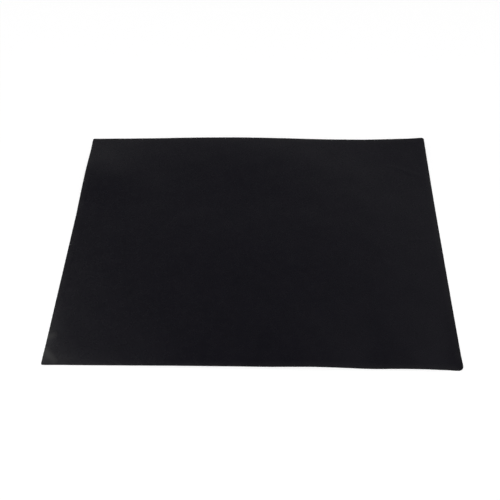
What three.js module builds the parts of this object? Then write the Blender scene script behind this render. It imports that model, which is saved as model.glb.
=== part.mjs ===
// Barbecue grill mat: a woven glass cloth with a black non-stick coat baked onto each face, cut
// from the roll and laid on a flat surface. Millimetres, +Z up. +X runs along the long side and -Y
// points at the front edge. The origin is under the middle of the mat, on the surface it lies on.

import * as THREE from "three";

// The cut sheet.
const MAT_LENGTH = 400;
const MAT_WIDTH = 330;
const CORNER_RADIUS = 2;

// The bonded layers, from the underside up.
const BOTTOM_COATING_THICKNESS = 0.03;
const GLASS_CLOTH_THICKNESS = 0.14;
const TOP_COATING_THICKNESS = 0.03;

// Ripples that being rolled up leaves along the edges. Each crest meets its edge at a distance from
// the middle of that edge, rises there to its height, is flat again half a width to either side,
// and dies out at its reach in from the edge. The lean moves the crest sideways on the way in.
const BACK_RIPPLE = { at: -24, height: 3.3, halfWidth: 168, reach: 125, lean: 0.15 };
const FRONT_RIPPLE_LEFT = { at: -20, height: 1.65, halfWidth: 180, reach: 115, lean: -0.1 };
const FRONT_RIPPLE_MIDDLE = { at: 65.5, height: 1.65, halfWidth: 62, reach: 95, lean: -0.2 };
const FRONT_RIPPLE_RIGHT = { at: 151, height: 1.5, halfWidth: 45, reach: 80, lean: 0.1 };
const LEFT_RIPPLE = { at: 100.5, height: 2.9, halfWidth: 75, reach: 90, lean: 0 };

// Corners that curl up from a slanting fold line. The line meets the two edges at these distances
// from the corner, and the corner itself stands at the height.
const BACK_RIGHT_CURL = { alongLength: 146, alongWidth: 138, height: 4 };
const FRONT_RIGHT_CURL = { alongLength: 20, alongWidth: 140, height: 1.2 };

// The front left corner, bent down by handling. Its two edges stay on the surface, and the sheet
// swells to the height at the rise in from them and dies out at these distances from the corner.
const FRONT_LEFT_BEND = { rise: 20, alongLength: 80, alongWidth: 95, height: 1.3 };

// How finely the form is followed.
const GRID_CELL = 14;
const CORNER_STEPS = 2;

const HALF_LENGTH = MAT_LENGTH / 2;
const HALF_WIDTH = MAT_WIDTH / 2;

// One in the middle, falling smoothly to nothing at the given distance.
function hump(offset, distance) {
  if (Math.abs(offset) >= distance) return 0;
  return (1 + Math.cos((Math.PI * offset) / distance)) / 2;
}

// Height of one ripple at a point that lies a distance along the edge and a distance in from it.
function rippleHeight(ripple, along, inward) {
  const crest = ripple.at + ripple.lean * inward;
  return ripple.height * hump(along - crest, ripple.halfWidth) * hump(inward, ripple.reach);
}

// Height of one corner's curl, from the distances to the two edges that meet there.
function curlHeight(curl, fromSide, fromEnd) {
  const pastFold = 1 - fromSide / curl.alongLength - fromEnd / curl.alongWidth;
  return pastFold > 0 ? curl.height * pastFold ** 2 : 0;
}

// Height of a bent corner, from the distances to the two edges that meet there.
function bendHeight(bend, fromSide, fromEnd) {
  const toCorner = Math.hypot(fromSide, fromEnd);
  if (toCorner === 0) return 0;
  const fromEdges = (fromSide * fromEnd) / toCorner;
  const risen = 1 - (1 - Math.min(fromEdges / bend.rise, 1)) ** 2;
  return bend.height * risen * hump(fromSide, bend.alongLength) * hump(fromEnd, bend.alongWidth);
}

// Height of the underside of the laid mat above the surface that it lies on.
function laidHeight(x, y) {
  const fromLeft = x + HALF_LENGTH;
  const fromRight = HALF_LENGTH - x;
  const fromFront = y + HALF_WIDTH;
  const fromBack = HALF_WIDTH - y;
  let height = rippleHeight(BACK_RIPPLE, x, fromBack);
  for (const ripple of [FRONT_RIPPLE_LEFT, FRONT_RIPPLE_MIDDLE, FRONT_RIPPLE_RIGHT]) {
    height += rippleHeight(ripple, x, fromFront);
  }
  height += rippleHeight(LEFT_RIPPLE, y, fromLeft);
  height += curlHeight(BACK_RIGHT_CURL, fromRight, fromBack);
  height += curlHeight(FRONT_RIGHT_CURL, fromRight, fromFront);
  height += bendHeight(FRONT_LEFT_BEND, fromLeft, fromFront);
  return height;
}

// Grid lines across one side of the sheet: evenly spaced between the corners, then closing up so
// that the points pulled onto a corner's arc are evenly spaced round it.
function gridLines(side) {
  const halfStraight = side / 2 - CORNER_RADIUS;
  const cells = Math.ceil((2 * halfStraight) / GRID_CELL);
  const lines = [];
  for (let i = 0; i <= cells; i += 1) {
    lines.push(halfStraight * ((2 * i) / cells - 1));
  }
  for (let step = 1; step <= CORNER_STEPS; step += 1) {
    const past = CORNER_RADIUS * Math.tan((Math.PI / 4) * (step / CORNER_STEPS));
    lines.push(halfStraight + past);
    lines.unshift(-halfStraight - past);
  }
  return lines;
}

// Moves a point of a square corner onto the arc that rounds it. Other points stay where they are.
function onRoundedSheet(x, y) {
  const pastX = Math.abs(x) - (HALF_LENGTH - CORNER_RADIUS);
  const pastY = Math.abs(y) - (HALF_WIDTH - CORNER_RADIUS);
  if (pastX <= 0 || pastY <= 0) return [x, y];
  const pull = 1 - Math.max(pastX, pastY) / Math.hypot(pastX, pastY);
  return [x - Math.sign(x) * pastX * pull, y - Math.sign(y) * pastY * pull];
}

const LINES_ALONG_LENGTH = gridLines(MAT_LENGTH);
const LINES_ALONG_WIDTH = gridLines(MAT_WIDTH);

// The grid points round the outline of the sheet, anticlockwise from the front left corner.
function outline(columns, rows) {
  const lastRow = (rows - 1) * columns;
  const points = [];
  for (let column = 0; column < columns - 1; column += 1) points.push(column);
  for (let row = 0; row < rows - 1; row += 1) points.push(row * columns + columns - 1);
  for (let column = columns - 1; column > 0; column -= 1) points.push(lastRow + column);
  for (let row = rows - 1; row > 0; row -= 1) points.push(row * columns);
  return points;
}

// One layer of the laid mat, between two levels of its thickness. Layers that meet at a level have
// the same points and the same facets there, so that they touch all over.
function layer(name, lower, upper, material) {
  const columns = LINES_ALONG_LENGTH.length;
  const rows = LINES_ALONG_WIDTH.length;
  const places = [];
  for (const level of [lower, upper]) {
    for (const lineY of LINES_ALONG_WIDTH) {
      for (const lineX of LINES_ALONG_LENGTH) {
        const [x, y] = onRoundedSheet(lineX, lineY);
        places.push(x, y, laidHeight(x, y) + level);
      }
    }
  }

  const up = columns * rows;
  const facets = [];
  for (let row = 0; row < rows - 1; row += 1) {
    for (let column = 0; column < columns - 1; column += 1) {
      const a = row * columns + column;
      const b = a + 1;
      const c = b + columns;
      const d = a + columns;
      facets.push(a, c, b, a, d, c);
      facets.push(up + a, up + b, up + c, up + a, up + c, up + d);
    }
  }
  const rim = outline(columns, rows);
  rim.forEach((point, i) => {
    const next = rim[(i + 1) % rim.length];
    facets.push(point, next, up + next, point, up + next, up + point);
  });

  const geometry = new THREE.BufferGeometry();
  geometry.setAttribute("position", new THREE.Float32BufferAttribute(places, 3));
  geometry.setIndex(facets);
  geometry.computeVertexNormals();
  const mesh = new THREE.Mesh(geometry, material);
  mesh.name = name;
  return mesh;
}

const CLOTH_LOWER_LEVEL = BOTTOM_COATING_THICKNESS;
const CLOTH_UPPER_LEVEL = CLOTH_LOWER_LEVEL + GLASS_CLOTH_THICKNESS;
const TOP_LEVEL = CLOTH_UPPER_LEVEL + TOP_COATING_THICKNESS;

const topCoatingMaterial = new THREE.MeshStandardMaterial({
  color: 0x1a1a1d,
  roughness: 0.42,
  metalness: 0,
});
const glassClothMaterial = new THREE.MeshStandardMaterial({
  color: 0x3c3b39,
  roughness: 0.75,
  metalness: 0,
});
const bottomCoatingMaterial = new THREE.MeshStandardMaterial({
  color: 0x1a1a1d,
  roughness: 0.48,
  metalness: 0,
});

const mat = new THREE.Group();
mat.name = "barbecue_grill_mat";
mat.add(layer("bottom_coating", 0, CLOTH_LOWER_LEVEL, bottomCoatingMaterial));
mat.add(layer("glass_cloth", CLOTH_LOWER_LEVEL, CLOTH_UPPER_LEVEL, glassClothMaterial));
mat.add(layer("top_coating", CLOTH_UPPER_LEVEL, TOP_LEVEL, topCoatingMaterial));

export default mat;
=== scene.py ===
import math

import bpy
import numpy as np
from mathutils import Matrix, Vector


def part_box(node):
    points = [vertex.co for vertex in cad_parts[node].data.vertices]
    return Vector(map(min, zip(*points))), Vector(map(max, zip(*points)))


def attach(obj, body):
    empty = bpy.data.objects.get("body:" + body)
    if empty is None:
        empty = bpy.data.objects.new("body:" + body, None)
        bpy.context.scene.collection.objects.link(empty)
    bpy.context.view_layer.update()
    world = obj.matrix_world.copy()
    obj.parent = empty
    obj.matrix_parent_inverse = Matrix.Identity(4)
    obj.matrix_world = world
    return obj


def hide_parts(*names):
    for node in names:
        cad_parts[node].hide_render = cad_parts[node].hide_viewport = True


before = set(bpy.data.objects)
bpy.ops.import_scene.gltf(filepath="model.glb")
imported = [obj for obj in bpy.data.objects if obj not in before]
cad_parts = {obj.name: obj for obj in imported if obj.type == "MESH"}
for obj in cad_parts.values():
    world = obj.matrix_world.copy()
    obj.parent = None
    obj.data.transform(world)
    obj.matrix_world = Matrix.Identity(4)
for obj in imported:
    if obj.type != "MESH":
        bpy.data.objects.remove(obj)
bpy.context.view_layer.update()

# Lengths are in metres in the mat's own frame: +X runs along the long side, -Y points at the front
# edge, and +Z goes up from the surface that the mat lies on.


# Woven glass cloth, the core of the mat.
# It is a plain weave of glass-fibre yarn, soaked through with black PTFE and baked. The mat is cut
# from the coated roll, so the cloth only shows along the cut edges.

cloth_low, cloth_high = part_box("glass_cloth")
mat_length = cloth_high.x - cloth_low.x
mat_width = cloth_high.y - cloth_low.y
half_length = mat_length / 2
half_width = mat_width / 2
yarn_pitch = 0.0006

# Levels through the thickness of the mat, from its underside up.
bottom_coating_thickness = 0.00003
glass_cloth_thickness = 0.00014
cloth_lower_level = bottom_coating_thickness
cloth_upper_level = cloth_lower_level + glass_cloth_thickness

# How finely the mesh follows the form, and the angle from which its edges are shaded as sharp ones.
mesh_cell = 0.002
corner_steps = 8
sharp_from = math.radians(40)

# Map that a layer's finish is baked through. The main face, which is a coat's outer face or the
# cloth's upper one, has three pixels to two yarns, so that the weave keeps its true pattern. The rim
# is spread out round it, and the other face, which never shows, is squeezed into the strip above.
map_name = "OFBake"
map_pixels = 1024
pixel_length = 2 * yarn_pitch / 3
border_pixels = 12
rim_spread = 1.01
strip_start_pixels = 852
strip_squeeze = 0.19

# Ripples left along the edges by the roll. Each crest meets its edge at a place measured from the
# middle of that edge, rises to its height there, is flat again at its half width to either side and
# dies out at its reach in from the edge. The lean moves the crest sideways on the way in.
back_ripple = {"at": -0.024, "height": 0.0033, "half_width": 0.168, "reach": 0.125, "lean": 0.15}
front_ripples = [
    {"at": -0.020, "height": 0.00165, "half_width": 0.180, "reach": 0.115, "lean": -0.1},
    {"at": 0.0655, "height": 0.00165, "half_width": 0.062, "reach": 0.095, "lean": -0.2},
    {"at": 0.151, "height": 0.0015, "half_width": 0.045, "reach": 0.080, "lean": 0.1},
]
left_ripple = {"at": 0.1005, "height": 0.0029, "half_width": 0.075, "reach": 0.090, "lean": 0.0}

# Corners that curl up past a slanting fold line, which meets the two edges at these distances.
back_right_curl = {"along_length": 0.146, "along_width": 0.138, "height": 0.004}
front_right_curl = {"along_length": 0.020, "along_width": 0.140, "height": 0.0012}

# Front left corner, bent down by handling. Its two edges stay on the surface, and the sheet swells to
# the height at the rise in from them and dies out at these distances from the corner.
front_left_bend = {"rise": 0.020, "along_length": 0.080, "along_width": 0.095, "height": 0.0013}

# How each corner is cut: on the right side (1) or the left (-1), at the back end (1) or the front (-1),
# and the radius that rounds it. The shears leave its tip a little off the square, out by these lengths
# in X and Y, or in where one is negative. That dies out at the reach from the tip.
corner_cuts = [
    {"side": -1, "end": -1, "radius": 0.0020, "out_x": 0.0003, "out_y": 0.0003, "reach": 0.025},
    {"side": 1, "end": -1, "radius": 0.0055, "out_x": 0.0006, "out_y": 0.0006, "reach": 0.018},
    {"side": 1, "end": 1, "radius": 0.0030, "out_x": 0.0, "out_y": 0.0008, "reach": 0.021},
    {"side": -1, "end": 1, "radius": 0.0020, "out_x": 0.0006, "out_y": -0.0005, "reach": 0.028},
]

# Small round swellings and dips from handling: two puckers that the bend leaves on the left edge, and
# the tip of the front right corner, which is turned down again.
corner_dents = [
    {"x": -0.194, "y": -0.133, "height": 0.00018, "radius": 0.009},
    {"x": -0.194, "y": -0.152, "height": 0.00012, "radius": 0.009},
    {"x": 0.200, "y": -0.165, "height": -0.0008, "radius": 0.016},
]

# Faint creases from packing and handling, each a low ridge that fades out at both ends.
creases = [
    {"start": (-0.208, -0.139), "end": (-0.180, -0.170), "height": 0.00012, "half_width": 0.006},
    {"start": (0.143, 0.126), "end": (0.206, 0.092), "height": 0.00012, "half_width": 0.005},
    {"start": (0.150, 0.002), "end": (0.196, 0.002), "height": 0.00008, "half_width": 0.005},
    {"start": (0.018, -0.026), "end": (0.072, -0.049), "height": 0.00010, "half_width": 0.006},
]

# Cockle, the low unevenness of a dipped and baked cloth, as crossing waves. The headings are in degrees.
cockle_waves = [
    {"length": 0.061, "heading": 12, "phase": 0.4, "height": 0.00006},
    {"length": 0.047, "heading": 71, "phase": 2.1, "height": 0.00005},
    {"length": 0.038, "heading": 128, "phase": 4.0, "height": 0.00004},
    {"length": 0.029, "heading": 35, "phase": 5.2, "height": 0.00003},
    {"length": 0.023, "heading": 104, "phase": 1.3, "height": 0.00002},
]


def hump(offset, distance):
    """One in the middle, falling smoothly to nothing at the distance."""
    share = np.clip(np.abs(offset) / distance, 0, 1)
    return (1 + np.cos(math.pi * share)) / 2


def ripple_height(ripple, along, inward):
    """Height of a ripple at a distance along its edge and a distance in from it."""
    crest = ripple["at"] + ripple["lean"] * inward
    return ripple["height"] * hump(along - crest, ripple["half_width"]) * hump(inward, ripple["reach"])


def curl_height(curl, from_side, from_end):
    """Height of a curled corner, from the distances to the two edges that meet there."""
    past_fold = 1 - from_side / curl["along_length"] - from_end / curl["along_width"]
    return curl["height"] * np.clip(past_fold, 0, None) ** 2


def bend_height(bend, from_side, from_end):
    """Height of a bent corner, from the distances to the two edges that meet there."""
    to_corner = np.hypot(from_side, from_end)
    from_edges = from_side * from_end / np.where(to_corner > 0, to_corner, 1)
    risen = 1 - (1 - np.clip(from_edges / bend["rise"], 0, 1)) ** 2
    dying_out = hump(from_side, bend["along_length"]) * hump(from_end, bend["along_width"])
    return bend["height"] * risen * dying_out


def laid_height(x, y):
    """Height of the underside of the laid mat above the surface it lies on."""
    from_left = x + half_length
    from_right = half_length - x
    from_front = y + half_width
    from_back = half_width - y
    height = ripple_height(back_ripple, x, from_back)
    for ripple in front_ripples:
        height = height + ripple_height(ripple, x, from_front)
    height = height + ripple_height(left_ripple, y, from_left)
    height = height + curl_height(back_right_curl, from_right, from_back)
    height = height + curl_height(front_right_curl, from_right, from_front)
    height = height + bend_height(front_left_bend, from_left, from_front)
    return height


def crease_height(crease, x, y):
    """Height of a crease, from the distances along it and across it."""
    start = np.array(crease["start"])
    run = np.array(crease["end"]) - start
    length = np.linalg.norm(run)
    along = ((x - start[0]) * run[0] + (y - start[1]) * run[1]) / length
    across = ((y - start[1]) * run[0] - (x - start[0]) * run[1]) / length
    return crease["height"] * hump(across, crease["half_width"]) * hump(along - length / 2, length / 2)


def fine_height(x, y):
    """Height that the dents, the creases and the cockle add to the laid form."""
    height = np.zeros_like(x)
    for dent in corner_dents:
        height += dent["height"] * hump(np.hypot(x - dent["x"], y - dent["y"]), dent["radius"])
    for crease in creases:
        height += crease_height(crease, x, y)
    for wave in cockle_waves:
        heading = math.radians(wave["heading"])
        along = x * math.cos(heading) + y * math.sin(heading)
        swing = np.sin(2 * math.pi * along / wave["length"] + wave["phase"])
        height += wave["height"] * (1 + swing) / 2
    return height


def grid_lines(side):
    """Places of the mesh lines across one side, closing up through the widest round of a corner."""
    widest_round = max(cut["radius"] for cut in corner_cuts)
    half_straight = side / 2 - widest_round
    cells = round(2 * half_straight / mesh_cell)
    even = np.linspace(-half_straight, half_straight, cells + 1)
    steps = np.arange(1, corner_steps + 1)
    past = half_straight + widest_round * np.tan(math.pi / 4 * steps / corner_steps)
    return np.concatenate([-past[::-1], even, past])


def cut_outline(x, y):
    """Pulls the points of a square sheet to its corners as they are cut, each onto its own arc."""
    cut_x = x.copy()
    cut_y = y.copy()
    for cut in corner_cuts:
        past_x = np.clip(cut["side"] * x - half_length + cut["radius"], 0, None)
        past_y = np.clip(cut["end"] * y - half_width + cut["radius"], 0, None)
        past = np.hypot(past_x, past_y)
        pull = 1 - np.maximum(past_x, past_y) / np.where(past > 0, past, 1)
        to_tip = np.hypot(x - cut["side"] * half_length, y - cut["end"] * half_width)
        drawn = hump(to_tip, cut["reach"])
        cut_x += cut["side"] * (cut["out_x"] * drawn - past_x * pull)
        cut_y += cut["end"] * (cut["out_y"] * drawn - past_y * pull)
    return cut_x, cut_y


def lay_out_map(mesh, faces, x, y, main_up):
    """Gives a layer its map. The lower points come first in the mesh, then the upper ones."""
    on_other_face = (faces >= len(x)) != main_up
    in_strip = on_other_face.all(axis=1)[:, None]
    spread = np.where(on_other_face & ~in_strip, rim_spread, 1)
    turned = 1 if main_up else -1
    from_left = half_length + spread * x[faces % len(x)]
    from_front = half_width + spread * turned * y[faces % len(x)]
    start = np.where(in_strip, strip_start_pixels, border_pixels)
    squeeze = np.where(in_strip, strip_squeeze, 1)
    across = border_pixels + from_left / pixel_length
    upward = start + squeeze * from_front / pixel_length
    places = np.stack([across, upward], axis=2) / map_pixels
    layout = mesh.uv_layers.new(name=map_name)
    layout.uv.foreach_set("vector", places.astype(np.float32).ravel())


def sheet_layer(name, lower, upper, main_up):
    """One layer of the laid mat as a closed mesh between two levels of its thickness."""
    lines_x = grid_lines(mat_length)
    lines_y = grid_lines(mat_width)
    columns = len(lines_x)
    rows = len(lines_y)
    flat_x, flat_y = np.meshgrid(lines_x, lines_y)
    x, y = cut_outline(flat_x.ravel(), flat_y.ravel())
    height = laid_height(x, y) + fine_height(x, y)
    low_points = np.stack([x, y, height + lower], axis=1)
    high_points = np.stack([x, y, height + upper], axis=1)

    number = np.arange(columns * rows).reshape(rows, columns)
    front_left = number[:-1, :-1].ravel()
    front_right = number[:-1, 1:].ravel()
    back_right = number[1:, 1:].ravel()
    back_left = number[1:, :-1].ravel()
    first_upper = columns * rows
    under_faces = np.stack([front_left, back_left, back_right, front_right], axis=1)
    upper_faces = np.stack([front_left, front_right, back_right, back_left], axis=1) + first_upper
    rim = np.concatenate([number[0, :-1], number[:-1, -1], number[-1, :0:-1], number[:0:-1, 0]])
    rim_next = np.roll(rim, -1)
    edge_faces = np.stack([rim, rim_next, rim_next + first_upper, rim + first_upper], axis=1)

    mesh = bpy.data.meshes.new(name)
    points = np.concatenate([low_points, high_points])
    faces = np.concatenate([under_faces, upper_faces, edge_faces])
    mesh.from_pydata(points.tolist(), [], faces.tolist())
    lay_out_map(mesh, faces, x, y, main_up)
    mesh.shade_smooth()
    mesh.set_sharp_from_angle(angle=sharp_from)
    piece = bpy.data.objects.new(name, mesh)
    bpy.context.scene.collection.objects.link(piece)
    return piece


def new_material(name):
    """A node material with its Principled shader, ready for links."""
    material = bpy.data.materials.new(name)
    material.use_nodes = True
    return material, material.node_tree, material.node_tree.nodes["Principled BSDF"]


def object_place(tree):
    """The place on a piece, in metres in the mat's own frame."""
    return tree.nodes.new("ShaderNodeTexCoord").outputs["Object"]


def split_axes(tree, place):
    """The outputs X, Y and Z of a place or a direction."""
    node = tree.nodes.new("ShaderNodeSeparateXYZ")
    tree.links.new(place, node.inputs[0])
    return node.outputs


def set_inputs(tree, sockets, values):
    """Gives each socket its value, which is a constant or another node's output."""
    for socket, value in zip(sockets, values):
        if isinstance(value, bpy.types.NodeSocket):
            tree.links.new(value, socket)
        else:
            socket.default_value = value


def math_node(tree, operation, *values):
    """The result of one Math node."""
    node = tree.nodes.new("ShaderNodeMath")
    node.operation = operation
    set_inputs(tree, node.inputs, values)
    return node.outputs[0]


def map_range(tree, value, before, after, interpolation="LINEAR"):
    """A value whose range before is turned into the range after."""
    node = tree.nodes.new("ShaderNodeMapRange")
    node.interpolation_type = interpolation
    set_inputs(tree, node.inputs, (value, *before, *after))
    return node.outputs["Result"]


def colour_ramp(tree, value, stops):
    """Colour that follows a value through these stops, each a value and the colour there."""
    node = tree.nodes.new("ShaderNodeValToRGB")
    elements = node.color_ramp.elements
    while len(elements) < len(stops):
        elements.new(1)
    for element, (position, colour) in zip(elements, stops):
        element.position = position
        element.color = (*colour, 1)
    tree.links.new(value, node.inputs["Fac"])
    return node.outputs["Color"]


def raised_normal(tree, relief, depth):
    """Normal of a surface whose relief stands out of it by a depth."""
    node = tree.nodes.new("ShaderNodeBump")
    node.inputs["Distance"].default_value = depth
    tree.links.new(relief, node.inputs["Height"])
    return node.outputs["Normal"]


def new_node_group(name, vectors, numbers, results):
    """An empty node group with these inputs and number outputs, and its two end nodes."""
    group = bpy.data.node_groups.new(name, "ShaderNodeTree")
    for socket in vectors:
        group.interface.new_socket(socket, in_out="INPUT", socket_type="NodeSocketVector")
    for socket in numbers:
        group.interface.new_socket(socket, in_out="INPUT", socket_type="NodeSocketFloat")
    for socket in results:
        group.interface.new_socket(socket, in_out="OUTPUT", socket_type="NodeSocketFloat")
    return group, group.nodes.new("NodeGroupInput"), group.nodes.new("NodeGroupOutput")


def use_group(tree, group, place, values):
    """Outputs of a node group that is used in a material at a place, with the material's values."""
    node = tree.nodes.new("ShaderNodeGroup")
    node.node_tree = group
    tree.links.new(place, node.inputs["Place"])
    for name, value in values.items():
        node.inputs[name].default_value = value
    return node.outputs


def make_plain_weave():
    """Node group: relief of a plain weave, 1 on the crown of each yarn and 0 in the gaps."""
    group, inside, outside = new_node_group("plain_weave", ["Place"], ["Yarn Pitch"], ["Relief"])
    axes = split_axes(group, inside.outputs["Place"])
    half_turn = math_node(group, "DIVIDE", math.pi, inside.outputs["Yarn Pitch"])
    warp_wave = math_node(group, "COSINE", math_node(group, "MULTIPLY", axes["X"], half_turn))
    weft_wave = math_node(group, "COSINE", math_node(group, "MULTIPLY", axes["Y"], half_turn))
    over_under = math_node(group, "MULTIPLY", math_node(group, "MULTIPLY", warp_wave, weft_wave), 0.5)
    warp_over = math_node(group, "ADD", 0.5, over_under)
    weft_over = math_node(group, "SUBTRACT", 0.5, over_under)
    warp = math_node(group, "MULTIPLY", math_node(group, "ABSOLUTE", warp_wave), warp_over)
    weft = math_node(group, "MULTIPLY", math_node(group, "ABSOLUTE", weft_wave), weft_over)
    group.links.new(math_node(group, "MAXIMUM", warp, weft), outside.inputs["Relief"])
    return group


plain_weave = make_plain_weave()


def weave_relief(tree, place):
    """Relief of the mat's weave at a place."""
    return use_group(tree, plain_weave, place, {"Yarn Pitch": yarn_pitch})["Relief"]


gap_colour = (0.012, 0.012, 0.013)
crown_colour = (0.062, 0.060, 0.057)
gap_roughness = 0.85
crown_roughness = 0.55
yarn_relief_depth = 0.00005
yarn_refraction = 1.45

glass_cloth = sheet_layer("glass_cloth_core", cloth_lower_level, cloth_upper_level, main_up=True)

glass_material, glass_tree, glass_shader = new_material("soaked_glass_yarn")
glass_shader.inputs["IOR"].default_value = yarn_refraction
glass_relief = weave_relief(glass_tree, object_place(glass_tree))
glass_colour = colour_ramp(glass_tree, glass_relief, [(0, gap_colour), (1, crown_colour)])
glass_roughness = map_range(glass_tree, glass_relief, (0, 1), (gap_roughness, crown_roughness))
glass_normal = raised_normal(glass_tree, glass_relief, yarn_relief_depth)
glass_tree.links.new(glass_colour, glass_shader.inputs["Base Color"])
glass_tree.links.new(glass_roughness, glass_shader.inputs["Roughness"])
glass_tree.links.new(glass_normal, glass_shader.inputs["Normal"])
glass_cloth.data.materials.append(glass_material)

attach(glass_cloth, "root")
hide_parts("glass_cloth")


# Lower coat of black PTFE.
# It is dipped and baked onto the cloth in thin passes, follows the weave in a softened relief, and
# lies on the grate or the table. It is a little duller than the cooking face.

# Noise that makes the coat uneven: its scale in waves to a metre, how many finer layers it has, and
# the values between which it mostly stays.
cloud_noise = {"scale": 38, "detail": 4}
mottle_noise = {"scale": 140, "detail": 3}
broken_rub_noise = {"scale": 90, "detail": 4}
noise_low = 0.3
noise_high = 0.7

# Wear pales the coat along the cut edges, within the margin. The marks at the front left corner pale it
# with wear and painted highlight. From the gaps of the weave to its crowns, over this span of the
# relief, it grows from the share to the whole.
wear_and_highlight_colour = (0.030, 0.0295, 0.030, 1)
rubbed_margin = 0.007
edge_rub_strength = 0.5
crown_relief_span = (0.2, 0.7)
gap_wear_share = 0.35

# Pale marks on the front left corner, each a stroke with soft sides: the patch under the thumb, the
# crease across the tip and the pucker on the left edge. Each is partly whitening where the corner was
# gripped and bent, and partly painted highlight where the bent corner catches the light.
handling_wear_and_highlights = [
    {"start": (-0.196, -0.160), "end": (-0.180, -0.166), "half_width": 0.019, "strength": 0.40},
    {"start": (-0.200, -0.148), "end": (-0.188, -0.161), "half_width": 0.007, "strength": 1.00},
    {"start": (-0.200, -0.132), "end": (-0.195, -0.131), "half_width": 0.007, "strength": 0.85},
]

coat_refraction = 1.35


def noise_node(tree, place, noise):
    """The value of one Noise node."""
    node = tree.nodes.new("ShaderNodeTexNoise")
    node.inputs["Scale"].default_value = noise["scale"]
    node.inputs["Detail"].default_value = noise["detail"]
    tree.links.new(place, node.inputs["Vector"])
    return node.outputs["Fac"]


def vector_node(tree, operation, first, second):
    """The result of one Vector Math node, a number where the operation gives only that."""
    node = tree.nodes.new("ShaderNodeVectorMath")
    node.operation = operation
    second_socket = node.inputs["Scale"] if operation == "SCALE" else node.inputs[1]
    set_inputs(tree, (node.inputs[0], second_socket), (first, second))
    return node.outputs["Value"] if operation in ("DOT_PRODUCT", "DISTANCE") else node.outputs["Vector"]


def make_coat_variation():
    """Node group: the uneven build of a dipped coat, as soft clouds and a finer mottle."""
    group, inside, outside = new_node_group("coat_variation", ["Place"], [], ["Clouds", "Mottle"])
    place = inside.outputs["Place"]
    group.links.new(noise_node(group, place, cloud_noise), outside.inputs["Clouds"])
    group.links.new(noise_node(group, place, mottle_noise), outside.inputs["Mottle"])
    return group


def make_cut_edge_rub():
    """Node group: broken rubbing along the cut edges, strongest on the edge and 0 a margin inside it."""
    sizes = ["Half Length", "Half Width", "Margin"]
    group, inside, outside = new_node_group("cut_edge_rub", ["Place"], sizes, ["Rub"])
    axes = split_axes(group, inside.outputs["Place"])
    off_middle_x = math_node(group, "ABSOLUTE", axes["X"])
    off_middle_y = math_node(group, "ABSOLUTE", axes["Y"])
    from_end = math_node(group, "SUBTRACT", inside.outputs["Half Length"], off_middle_x)
    from_side = math_node(group, "SUBTRACT", inside.outputs["Half Width"], off_middle_y)
    inward = math_node(group, "MINIMUM", from_end, from_side)
    margins_inward = math_node(group, "DIVIDE", inward, inside.outputs["Margin"])
    near_edge = math_node(group, "MAXIMUM", math_node(group, "SUBTRACT", 1, margins_inward), 0)
    breaks = noise_node(group, inside.outputs["Place"], broken_rub_noise)
    group.links.new(math_node(group, "MULTIPLY", near_edge, breaks), outside.inputs["Rub"])
    return group


def make_soft_stroke():
    """Node group: 1 along a straight stroke, falling smoothly to 0 at the half width from it."""
    points = ["Place", "Start", "End"]
    group, inside, outside = new_node_group("soft_stroke", points, ["Half Width"], ["Mark"])
    on_the_flat = vector_node(group, "MULTIPLY", inside.outputs["Place"], (1, 1, 0))
    from_start = vector_node(group, "SUBTRACT", on_the_flat, inside.outputs["Start"])
    run = vector_node(group, "SUBTRACT", inside.outputs["End"], inside.outputs["Start"])
    gone = vector_node(group, "DOT_PRODUCT", from_start, run)
    whole = vector_node(group, "DOT_PRODUCT", run, run)
    along = math_node(group, "DIVIDE", gone, whole)
    share = math_node(group, "MINIMUM", math_node(group, "MAXIMUM", along, 0), 1)
    nearest = vector_node(group, "SCALE", run, share)
    distance = vector_node(group, "DISTANCE", from_start, nearest)
    half_widths_off = math_node(group, "DIVIDE", distance, inside.outputs["Half Width"])
    mark = map_range(group, half_widths_off, (1, 0), (0, 1), interpolation="SMOOTHSTEP")
    group.links.new(mark, outside.inputs["Mark"])
    return group


coat_variation = make_coat_variation()
cut_edge_rub = make_cut_edge_rub()
soft_stroke = make_soft_stroke()


def coat_wear_and_highlights(tree, place, relief):
    """Wear by rubbing and handling, and painted highlight at the front left corner, strongest on yarn
    crowns.
    """
    cut_sheet = {"Half Length": half_length, "Half Width": half_width, "Margin": rubbed_margin}
    rub = use_group(tree, cut_edge_rub, place, cut_sheet)["Rub"]
    wear_and_highlight = math_node(tree, "MULTIPLY", rub, edge_rub_strength)
    # Each handling mark adds paleness that is partly wear and partly painted highlight.
    for mark in handling_wear_and_highlights:
        stroke = {
            "Start": (*mark["start"], 0),
            "End": (*mark["end"], 0),
            "Half Width": mark["half_width"],
        }
        marked = use_group(tree, soft_stroke, place, stroke)["Mark"]
        wear_and_highlight = math_node(tree, "MAXIMUM", wear_and_highlight, math_node(tree, "MULTIPLY", marked, mark["strength"]))
    crowns = map_range(tree, relief, crown_relief_span, (gap_wear_share, 1))
    return math_node(tree, "MULTIPLY", wear_and_highlight, crowns)


def coat_material(name, dark, light, smooth, dull, relief_depth):
    """Satin black coat: colour from the clouds, gloss from the mottle, relief from the weave."""
    material, tree, shader = new_material(name)
    shader.inputs["IOR"].default_value = coat_refraction
    place = object_place(tree)
    relief = weave_relief(tree, place)
    variation = use_group(tree, coat_variation, place, {})
    unworn = colour_ramp(tree, variation["Clouds"], [(noise_low, dark), (noise_high, light)])
    # Paler where the coat is worn, and at the front left corner, where a highlight is painted.
    worn_and_highlighted = tree.nodes.new("ShaderNodeMix")
    worn_and_highlighted.data_type = "RGBA"
    worn_and_highlighted.inputs["B"].default_value = wear_and_highlight_colour
    tree.links.new(coat_wear_and_highlights(tree, place, relief), worn_and_highlighted.inputs["Factor"])
    tree.links.new(unworn, worn_and_highlighted.inputs["A"])
    roughness = map_range(tree, variation["Mottle"], (noise_low, noise_high), (smooth, dull))
    tree.links.new(worn_and_highlighted.outputs["Result"], shader.inputs["Base Color"])
    tree.links.new(roughness, shader.inputs["Roughness"])
    tree.links.new(raised_normal(tree, relief, relief_depth), shader.inputs["Normal"])
    return material


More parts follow.
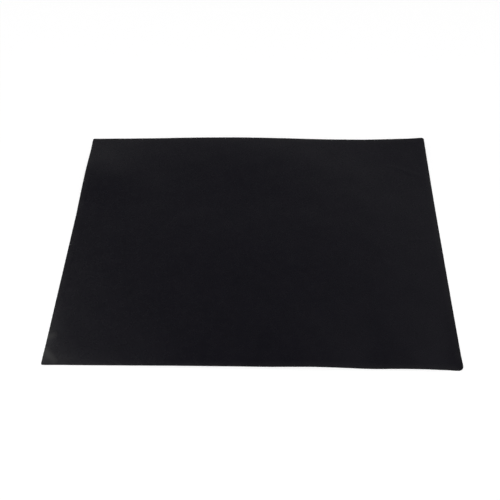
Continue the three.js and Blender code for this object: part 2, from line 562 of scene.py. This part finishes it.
bottom_coating = sheet_layer("bottom_coating_skin", 0, cloth_lower_level, main_up=False)
bottom_material = coat_material(
    "lower_black_coat",
    dark=(0.0042, 0.0042, 0.0050),
    light=(0.0062, 0.0062, 0.0072),
    smooth=0.38,
    dull=0.48,
    relief_depth=0.000026,
)
bottom_coating.data.materials.append(bottom_material)

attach(bottom_coating, "root")
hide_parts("bottom_coating")


# Upper coat of black PTFE, the cooking face.
# It is the same coat in more passes, so it is smoother and a little glossier, and it shows the fine
# weave only up close.

top_coating_thickness = 0.00003
top_level = cloth_upper_level + top_coating_thickness

top_coating = sheet_layer("top_coating_skin", cloth_upper_level, top_level, main_up=True)
top_material = coat_material(
    "upper_black_coat",
    dark=(0.0046, 0.0042, 0.0071),
    light=(0.0057, 0.0051, 0.0083),
    smooth=0.24,
    dull=0.29,
    relief_depth=0.000020,
)
top_coating.data.materials.append(top_material)

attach(top_coating, "root")
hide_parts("top_coating")


# Studio floor and background.
# The mat lies on a plain white floor that runs out to a white horizon, as on a product table. The
# surroundings are darker overhead, which keeps the satin face black in steep views.

floor_side = 40.0
floor_drop = 0.0001
floor_colour = (0.72, 0.72, 0.72, 1)
floor_roughness = 0.9

# Glow that only the camera and the mirrored view see. It lifts the floor towards white near the mat,
# and makes it wholly white by the far distance.
glow_colour = (1, 1, 1, 1)
glow_near_mat = 0.43
glow_far = 1.0
glow_rises_from = 0.8
glow_rises_to = 4.0

# Brightness of the surroundings by the upward share of the direction, from the horizon to overhead.
sky_stops = [(0.04, 1.0), (0.15, 0.62), (0.34, 0.26), (0.62, 0.15), (0.80, 0.06), (1.0, 0.10)]

bpy.ops.mesh.primitive_plane_add(size=floor_side, location=(0, 0, -floor_drop))
floor = bpy.context.object
floor.name = "studio_floor"
floor_material, floor_tree, floor_shader = new_material("white_floor")
floor_shader.inputs["Base Color"].default_value = floor_colour
floor_shader.inputs["Roughness"].default_value = floor_roughness
floor_shader.inputs["Specular IOR Level"].default_value = 0
floor_shader.inputs["Emission Color"].default_value = glow_colour
rays = floor_tree.nodes.new("ShaderNodeLightPath").outputs
mirrored = math_node(floor_tree, "MAXIMUM", rays["Is Glossy Ray"], rays["Is Transmission Ray"])
seen = math_node(floor_tree, "MAXIMUM", rays["Is Camera Ray"], mirrored)
from_mat = vector_node(floor_tree, "DISTANCE", object_place(floor_tree), (0, 0, 0))
glow = map_range(floor_tree, from_mat, (glow_rises_from, glow_rises_to), (glow_near_mat, glow_far))
seen_glow = math_node(floor_tree, "MULTIPLY", seen, glow)
floor_tree.links.new(seen_glow, floor_shader.inputs["Emission Strength"])
floor.data.materials.append(floor_material)

world = bpy.data.worlds.new("studio")
bpy.context.scene.world = world
world.use_nodes = True
world_tree = world.node_tree
direction = world_tree.nodes.new("ShaderNodeTexCoord").outputs["Generated"]
upward = split_axes(world_tree, direction)["Z"]
sky = colour_ramp(world_tree, upward, [(rise, (grey, grey, grey)) for rise, grey in sky_stops])
world_tree.links.new(sky, world_tree.nodes["Background"].inputs["Color"])


# Studio lamps and the camera.
# A large softbox in front lights the face evenly. A strip behind the mat and a weak box at each side
# give the sheen on its raised edges. The camera stands where the photograph was taken from.


def softbox(name, place, width, height, power):
    """A soft area lamp aimed at the middle of the mat."""
    lamp = bpy.data.lights.new(name, "AREA")
    lamp.shape = "RECTANGLE"
    lamp.size = width
    lamp.size_y = height
    lamp.energy = power
    holder = bpy.data.objects.new(name, lamp)
    holder.location = place
    holder.rotation_euler = (-Vector(place)).to_track_quat("-Z", "Y").to_euler()
    bpy.context.scene.collection.objects.link(holder)


softbox("front_softbox", place=(1.3, -5.6, 6.3), width=5.6, height=4.4, power=650)
softbox("back_strip", place=(0.6, 2.00, 1.43), width=3.0, height=0.45, power=1.15)
softbox("left_softbox", place=(-1.18, 0.84, 1.66), width=0.90, height=1.10, power=3.0)
softbox("right_softbox", place=(0.87, 1.11, 1.68), width=0.90, height=0.90, power=0.5)

# The focal length is in pixels of the photograph, and the sensor in millimetres.
photo_pixels = 500
focal_pixels = 823
sensor_width = 36.0
near_clip = 0.01
camera_place = Vector((0.0201, -0.6027, 0.6538))
camera_tilt = math.radians(41.97)
camera_turn = math.radians(2.405)
camera_roll = math.radians(-1.214)

camera_data = bpy.data.cameras.new("photo_camera")
camera_data.sensor_width = sensor_width
camera_data.lens = focal_pixels * sensor_width / photo_pixels
camera_data.clip_start = near_clip
camera = bpy.data.objects.new("photo_camera", camera_data)
camera.matrix_world = (
    Matrix.Translation(camera_place)
    @ Matrix.Rotation(camera_turn, 4, "Z")
    @ Matrix.Rotation(camera_tilt, 4, "X")
    @ Matrix.Rotation(camera_roll, 4, "Z")
)
bpy.context.scene.collection.objects.link(camera)
bpy.context.scene.camera = camera
bpy.context.scene.view_settings.view_transform = "Standard"
